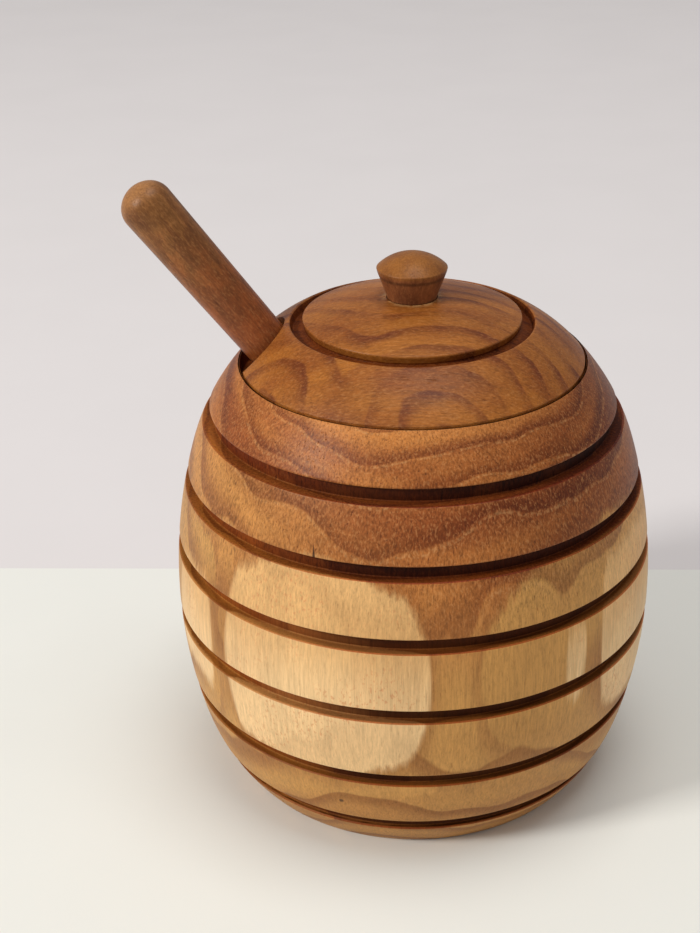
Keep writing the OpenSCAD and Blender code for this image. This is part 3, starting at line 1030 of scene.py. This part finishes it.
# %% [markdown]
# ## The lid's wood
#
# The lid is a flat board, so its fibres run across, from left to right. Its rings lie nearly flat in the
# board, and where they rise they are cut through as hills are by contour lines. Two such hills lie at the
# front edge, and a smooth minimum of the distances to both joins their contours into one wavy figure.
# Round the knob's neck a little bare wood shows, where glue was wiped away before the oil went on.

# %% Lid: wood
LID_HILLS = [(-42.0, -32.0, 0.0), (8.0, -46.0, 0.0)]
LID_YEAR = 6.6
HILLS_JOIN = 14.0
LID_LATE = linear(98, 42, 18)
BARE_WOOD = linear(206, 158, 104)


def bare_ring(f, place):
    """A broken ring of bare wood round the knob's neck."""
    from_knob = f.distance(f.vector("MULTIPLY", place, FLAT))
    bare = f.ramp(from_knob, NECK + 0.3, NECK + 1.9, 1.0, 0.0)
    bare = f.times(bare, f.ramp(f.noise(place, (1.6, 1.6, 1.6), 3), 0.38, 0.58))
    return f.times(bare, f.math("GREATER_THAN", f.axes(place)[2], SEAT - 1.0))


def lid_wood(name, rough, cut=None, gloss=OILED, flecks=0.55):
    """The board's wood, polished on the lid, and rougher in its groove, where it is painted darker as
    painted shade.
    """
    f = Finish(name)
    place = f.place()
    moved = f.drifted(place, (30, 20, 20), (9.0, 9.0, 0.0), 3)
    flat = f.vector("MULTIPLY", moved, FLAT)
    near, far = [f.distance(flat, at) for at in LID_HILLS]
    ring = f.node("Math", {0: near, 1: far, 2: HILLS_JOIN}, operation="SMOOTH_MIN").outputs[0]
    year = f.math("FRACT", f.grow(ring, 1 / LID_YEAR, 0.15))
    late = f.hump(year, 0.40, 0.88, 0.90, 1.0)
    strong = f.ramp(f.noise(place, (18, 14, 14), 2), 0.38, 0.62, 0.25, 0.85)
    ribbon = f.ramp(f.noise(place, (26, 9, 9), 3), 0.3, 0.7)
    body = f.blend(ribbon, linear(160, 96, 36), linear(138, 76, 28))
    body = f.blend(f.times(late, strong), body, LID_LATE)
    body = f.blend(f.grow(bare_ring(f, place), 0.6), body, BARE_WOOD)
    return timber(f, place, body, along=0, flecks=flecks, rough=rough, cut=cut, gloss=gloss)


lid.data.materials.append(lid_wood("lid_wood", (0.40, 0.56)))
# The lid's groove is painted darker, as painted shade inside the groove.
lid.data.materials.append(lid_wood("lid_groove_wood", (0.6, 0.75), linear(184, 150, 116), RAW, 1.0))

# %% [markdown]
# ## The knob's wood
#
# The knob is darker than the lid. Its grain is upright, so its side is streaked, and its top, which shows
# end grain, is more golden. A dark line is drawn on the cone just under the rim. One ramp over the height
# tells side from top, and a narrow hump over the height draws the line.

# %% Knob: wood
UNDER_RIM_DARK = linear(62, 34, 20)


def knob_wood():
    """Dark, streaked and upright, with a golden top."""
    f = Finish("knob_wood")
    place = f.place()
    z = f.axes(place)[2]
    blotch = f.ramp(f.noise(place, (5, 5, 12), 3), 0.3, 0.7)
    side = f.blend(blotch, linear(138, 82, 48), linear(104, 58, 34))
    top = f.blend(blotch, linear(148, 92, 38), linear(126, 74, 32))
    body = f.blend(f.ramp(z, KNOB_CONE_TOP - 0.4, KNOB_RIM_Z + 0.4), side, top)
    # A dark line on the cone, just under the rim.
    line = f.hump(z, *(KNOB_CONE_TOP - down for down in (1.6, 0.9, 0.8, 0.1)))
    body = f.blend(f.grow(line, 0.6), body, UNDER_RIM_DARK)
    return timber(f, place, body, along=2, flecks=0.3, rough=(0.38, 0.52))


knob.data.materials.append(knob_wood())

# %% [markdown]
# ## The dipper's wood
#
# The dipper's grain runs along the handle, with a mottle across it, and towards its end the red turns to
# olive. The dipper leans, so its nodes first turn the place back upright, from the foot on which it
# stands. Its rings lie round a pith well outside the stick, as they do in a stick split from a log. The
# last few millimetres are end grain and lighter.

# %% Dipper: wood
STICK_PITH = (-3.0, 22.0, 0.0)
NEARLY_FLAT = (1.0, 1.0, 0.08)
STICK_YEAR = 3.4
STICK_LATE = linear(92, 48, 28)
END_GRAIN = linear(158, 108, 64)


def dipper_wood():
    """Mottled red along the stick, olive near its end, and paler on the end grain."""
    f = Finish("dipper_wood")
    off = f.vector("SUBTRACT", f.place(), tuple(DIPPER_FOOT))
    upright = {"Vector": off, "Axis": (0, 1, 0), "Angle": LEAN}
    place = f.node("VectorRotate", upright, rotation_type="AXIS_ANGLE").outputs[0]
    z = f.axes(place)[2]
    moved = f.drifted(place, (6, 6, 20), (7.0, 7.0, 0.0), 3)
    flat = f.vector("MULTIPLY", f.vector("SUBTRACT", moved, STICK_PITH), NEARLY_FLAT)
    late = f.ramp(f.math("FRACT", f.grow(f.distance(flat), 1 / STICK_YEAR)), 0.3, 0.9)
    mottle = f.ramp(f.noise(place, (4.5, 4.5, 6.0), 4, 0.6), 0.3, 0.7)
    body = f.blend(mottle, linear(154, 82, 38), linear(128, 64, 30))
    olive = f.blend(mottle, linear(146, 96, 52), linear(118, 74, 38))
    body = f.blend(f.ramp(f.math("ADD", z, f.grow(mottle, 14.0)), 128, 168), body, olive)
    body = f.blend(f.grow(late, 0.36), body, STICK_LATE)
    end = DIPPER_TOP - FOOT_TO_TIP
    body = f.blend(f.ramp(z, end - 4.5, end - 1.0), body, END_GRAIN)
    return timber(f, place, body, along=2, flecks=0.5, rough=(0.36, 0.5))


dipper.data.materials.append(dipper_wood())
